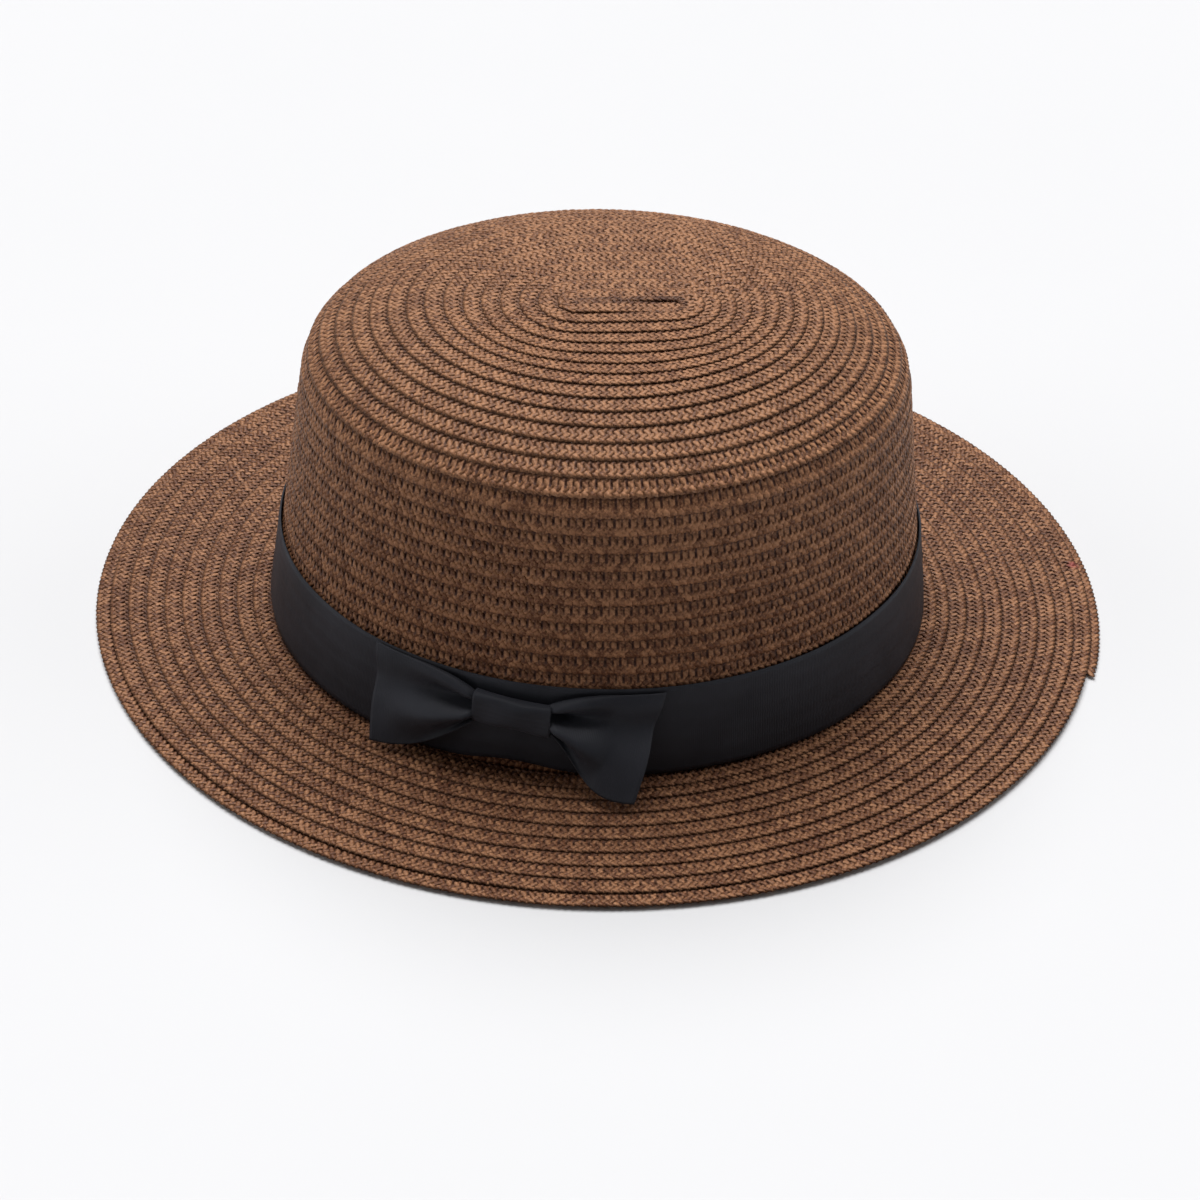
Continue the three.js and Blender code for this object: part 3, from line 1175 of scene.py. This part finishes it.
def edge_line(stops: Sequence[EdgeStop], along: np.ndarray) -> np.ndarray:
    """Give angle, rise and out along a smooth line through a wing's edge stops.

    Args:
        stops: The edge's stops, from the knot to the cut end.
        along: Shares of the way to the cut end.

    Returns:
        One row for each share: degrees round the oval, then rise and distance out in metres.
    """
    marks = np.linspace(0, 1, len(stops))
    rows = np.array([(stop.angle, stop.rise * MM, stop.out * MM) for stop in stops])
    curves = [np.polyfit(marks, rows[:, i], len(stops) - 1) for i in range(3)]
    return np.stack([np.polyval(curve, along) for curve in curves], axis=-1)


@dataclass
class Bow:
    """A flat bow of the band's ribbon: two gathered wings and the loop that holds them."""

    form: HatForm
    ribbon: Ribbon
    along_steps: int = 44
    across_steps: int = 48
    knot_steps: int = 32
    loop_steps: int = 40
    fold_gain: float = 1.6
    fold_most: float = 3.6 * MM
    end_ease: float = 0.8
    lost_pleats: float = 0.6
    hollow_at: float = 0.68
    hollow_spread: float = 0.2
    knot_dip: float = 0.9 * MM
    knot_from: float = -114.9
    knot_to: float = -102.2
    knot_rise: float = 15.6 * MM
    knot_height: float = 8.6 * MM
    knot_out: float = 2.0 * MM
    knot_depth: float = 3.8 * MM
    knot_square: float = 0.55
    knot_waist: float = 0.06
    knot_crease: float = 0.25 * MM

    def wings(self) -> list[Wing]:
        """Give the two wings' outlines.

        Returns:
            The left wing, then the right one.
        """
        left = Wing(
            "bow_left", "bow_wing_left",
            lower=(
                EdgeStop(-113.6, 16.6, 3.6), EdgeStop(-119.5, 8.5, 4.6),
                EdgeStop(-125.0, 3.0, 6.2), EdgeStop(-131.5, 1.2, 9.2),
            ),
            upper=(
                EdgeStop(-113.6, 22.9, 3.2), EdgeStop(-120.0, 27.2, 2.4),
                EdgeStop(-127.0, 28.2, 2.0), EdgeStop(-135.0, 28.4, 1.95),
            ),
            belly=1.2, leftward=True, hollow=0.24,
        )
        right = Wing(
            "bow_right", "bow_wing_right",
            lower=(
                EdgeStop(-103.6, 16.6, 3.6), EdgeStop(-98.8, 8.2, 6.2),
                EdgeStop(-95.2, 2.2, 11.6), EdgeStop(-89.4, 0.5, 16.2),
            ),
            upper=(
                EdgeStop(-103.6, 22.9, 3.2), EdgeStop(-97.0, 26.6, 2.5),
                EdgeStop(-90.5, 27.4, 2.1), EdgeStop(-83.6, 27.4, 2.0),
            ),
            belly=1.6, leftward=False, hollow=0.28,
        )
        return [left, right]

    def wing_points(self, wing: Wing) -> np.ndarray:
        """Shape a wing between its edges, with pleats that run out from the knot.

        Args:
            wing: The wing's outline and folds.

        Returns:
            The wing's points, from the knot outwards by lower to upper edge.
        """
        along = np.linspace(0, 1, self.along_steps + 1)[:, None]
        across = np.linspace(0, 1, self.across_steps + 1)[None, :]
        lower, upper = edge_line(wing.lower, along[:, 0]), edge_line(wing.upper, along[:, 0])
        place = lower[:, None, :] * (1 - across[..., None]) + upper[:, None, :] * across[..., None]
        lean = (lower[:, 2] - upper[:, 2])[:, None] * gaussian(across, self.hollow_at, self.hollow_spread)
        place[..., 2] -= wing.hollow * lean * np.sin(math.pi * across)
        points = self.form.on_wall(place[..., 0], place[..., 1], place[..., 2])
        outward = unit(self.form.on_wall(place[..., 0], place[..., 1], place[..., 2] + MM) - points)
        span = np.linalg.norm(points[:, -1] - points[:, 0], axis=-1)[:, None]
        spare = np.sqrt(np.maximum((self.ribbon.width / span) ** 2 - 1, 0))
        slack = spare * span / (FULL_TURN * wing.pleats)
        ease = (1 - self.end_ease * smooth_step(along, 0.45, 1.0)) * smooth_step(along, 0, 0.14)
        depth = np.minimum(self.fold_gain * slack, self.fold_most) * ease
        folds = wing.pleats - self.lost_pleats * along
        wave = np.cos(FULL_TURN * folds * (across - wing.ridge)) * np.sin(math.pi * across) ** 0.5
        swell = wing.belly * MM * np.sin(math.pi * along) * np.sin(math.pi * across)
        return points + outward * (depth * wave + swell)[..., None]

    def build_wing(self, wing: Wing, finish: bpy.types.Material) -> bpy.types.Object:
        """Args:
            wing: The wing's outline and folds.
            finish: The ribbon's material.

        Returns:
            The wing.
        """
        points = self.wing_points(wing)
        length = line_length(points[:, self.across_steps // 2])
        along = np.linspace(0, length, self.along_steps + 1)
        across = np.linspace(0, self.ribbon.width, self.across_steps + 1)
        flat = np.stack(np.meshgrid(along, across, indexing="ij"), axis=-1)
        if wing.leftward:
            points, flat = points[:, ::-1], flat[:, ::-1]
        piece = sheet_mesh(wing.name, points, flat, False, finish, self.ribbon)
        fit_on(piece, Slot.RIBBON, wing.node)
        return piece

    def build_knot(self, finish: bpy.types.Material) -> bpy.types.Object:
        """Build the flat loop of ribbon round the middle of the bow.

        Args:
            finish: The ribbon's material.

        Returns:
            The loop.
        """
        part = np.linspace(0, 1, self.knot_steps + 1)[:, None]
        angle = self.knot_from + (self.knot_to - self.knot_from) * part
        loop = np.linspace(0, FULL_TURN, self.loop_steps + 1)[None, :]
        up = np.sign(np.cos(loop)) * np.abs(np.cos(loop)) ** self.knot_square
        forth = np.sign(np.sin(loop)) * np.abs(np.sin(loop)) ** self.knot_square
        waist = 1 - self.knot_waist * np.sin(math.pi * part)
        dip = self.knot_dip * (1 - 2 * part)
        rise = self.knot_rise + dip + 0.5 * self.knot_height * (1 + up * waist)
        out = self.knot_out + 0.5 * self.knot_depth * (1 + forth)
        out = out + self.knot_crease * np.sin(3 * math.pi * part + 2 * loop) * (forth > 0)
        points = self.form.on_wall(angle + 0 * loop, rise, out)
        length = line_length(points[self.knot_steps // 2])
        width = line_length(points[:, 0])
        along = np.linspace(0, length, self.loop_steps + 1)
        across = np.linspace(0, width, self.knot_steps + 1)
        flat = np.stack(np.meshgrid(along, across, indexing="ij"), axis=-1)
        piece = sheet_mesh("bow_knot_loop", np.swapaxes(points, 0, 1)[:-1], flat, True, finish, self.ribbon)
        fit_on(piece, Slot.RIBBON, "bow_knot")
        return piece

    def build(self, finish: bpy.types.Material) -> list[bpy.types.Object]:
        """Build the knot and both wings."""
        knot = self.build_knot(finish)
        return [knot] + [self.build_wing(wing, finish) for wing in self.wings()]


# ---- the studio ---------------------------------------------------------------


@dataclass
class Studio:
    """The floor, the lights and the camera."""

    floor_size: float = 12.0
    sun_strength: float = 4.7
    sun_angle: float = 56.0
    sun_tilt: float = 27.0
    side_strength: float = 0.68
    side_angle: float = 50.0
    side_tilt: float = 66.0
    sky: float = 0.03
    azimuth: float = -6.1
    elevation: float = 36.73
    distance: float = 0.841
    target: tuple[float, float, float] = (-0.0040, -0.0442, 0.030)
    lens: float = 87.5
    roll: float = 2.28

    def camera(self) -> None:
        """Set the camera at its viewing angle."""
        turn, up = math.radians(self.azimuth), math.radians(self.elevation)
        back = Vector((math.sin(turn) * math.cos(up), -math.cos(turn) * math.cos(up), math.sin(up)))
        data = bpy.data.cameras.new("camera")
        data.lens = self.lens
        data.clip_start, data.clip_end = 0.02, 50
        camera = bpy.data.objects.new("camera", data)
        camera.location = Vector(self.target) + back * self.distance
        camera.rotation_mode = "QUATERNION"
        level = (-back).to_track_quat("-Z", "Y")
        camera.rotation_quaternion = level @ Quaternion((0, 0, 1), math.radians(self.roll))
        bpy.context.scene.collection.objects.link(camera)
        bpy.context.scene.camera = camera

    def floor(self) -> None:
        """Lay the pale floor that the brim rests on."""
        half = self.floor_size / 2
        corners = [(-half, -half, 0), (half, -half, 0), (half, half, 0), (-half, half, 0)]
        mesh = bpy.data.meshes.new("floor")
        mesh.from_pydata(corners, [], [(0, 1, 2, 3)])
        mesh.materials.append(FloorFinish().make())
        floor = bpy.data.objects.new("floor", mesh)
        bpy.context.scene.collection.objects.link(floor)

    def _soft_light(self, name: str, strength: float, angle: float, tilt: float, turn: float) -> None:
        """Hang one soft light.

        Args:
            name: The light's name.
            strength: How bright it is.
            angle: How broad it is, in degrees.
            tilt: How far it leans from straight overhead, in degrees.
            turn: Which way it leans, in degrees round from behind the hat.
        """
        light = bpy.data.lights.new(name, "SUN")
        light.energy = strength
        light.angle = math.radians(angle)
        lamp = bpy.data.objects.new(name, light)
        lean, way = math.radians(tilt), math.radians(turn)
        down = Vector((math.sin(way) * math.sin(lean), -math.cos(way) * math.sin(lean), -math.cos(lean)))
        lamp.rotation_mode = "QUATERNION"
        lamp.rotation_quaternion = down.to_track_quat("-Z", "Y")
        bpy.context.scene.collection.objects.link(lamp)

    def lights(self) -> None:
        """Hang one very broad soft light overhead, a weaker one at each side, and a faint sky."""
        self._soft_light("overhead", self.sun_strength, self.sun_angle, self.sun_tilt, 0.0)
        for name, turn in (("left_side", 90.0), ("right_side", -90.0)):
            self._soft_light(name, self.side_strength, self.side_angle, self.side_tilt, turn)
        world = bpy.data.worlds.new("studio")
        world.use_nodes = True
        world.node_tree.nodes["Background"].inputs["Color"].default_value = (1, 1, 1, 1)
        world.node_tree.nodes["Background"].inputs["Strength"].default_value = self.sky
        bpy.context.scene.world = world
        bpy.context.scene.view_settings.view_transform = "Standard"

    def build(self) -> None:
        """Set up the whole studio."""
        self.camera()
        self.floor()
        self.lights()


def main() -> None:
    """Build the hat, piece by piece."""
    logging.basicConfig(level=logging.INFO, format="%(name)s: %(message)s")
    Studio().build()
    form = HatForm.from_frame()
    braid, ribbon = Braid(), Ribbon()
    straw, black = StrawFinish().make(), RibbonFinish().make()
    plaits = PlaitTree()
    CrownStraw(form, braid).build(plaits, straw)
    BrimStraw(form, braid).build(plaits, straw)
    HatBand(form, ribbon, braid.row_pitch).build(black)
    Bow(form, ribbon).build(black)


if __name__ == "__main__":
    main()
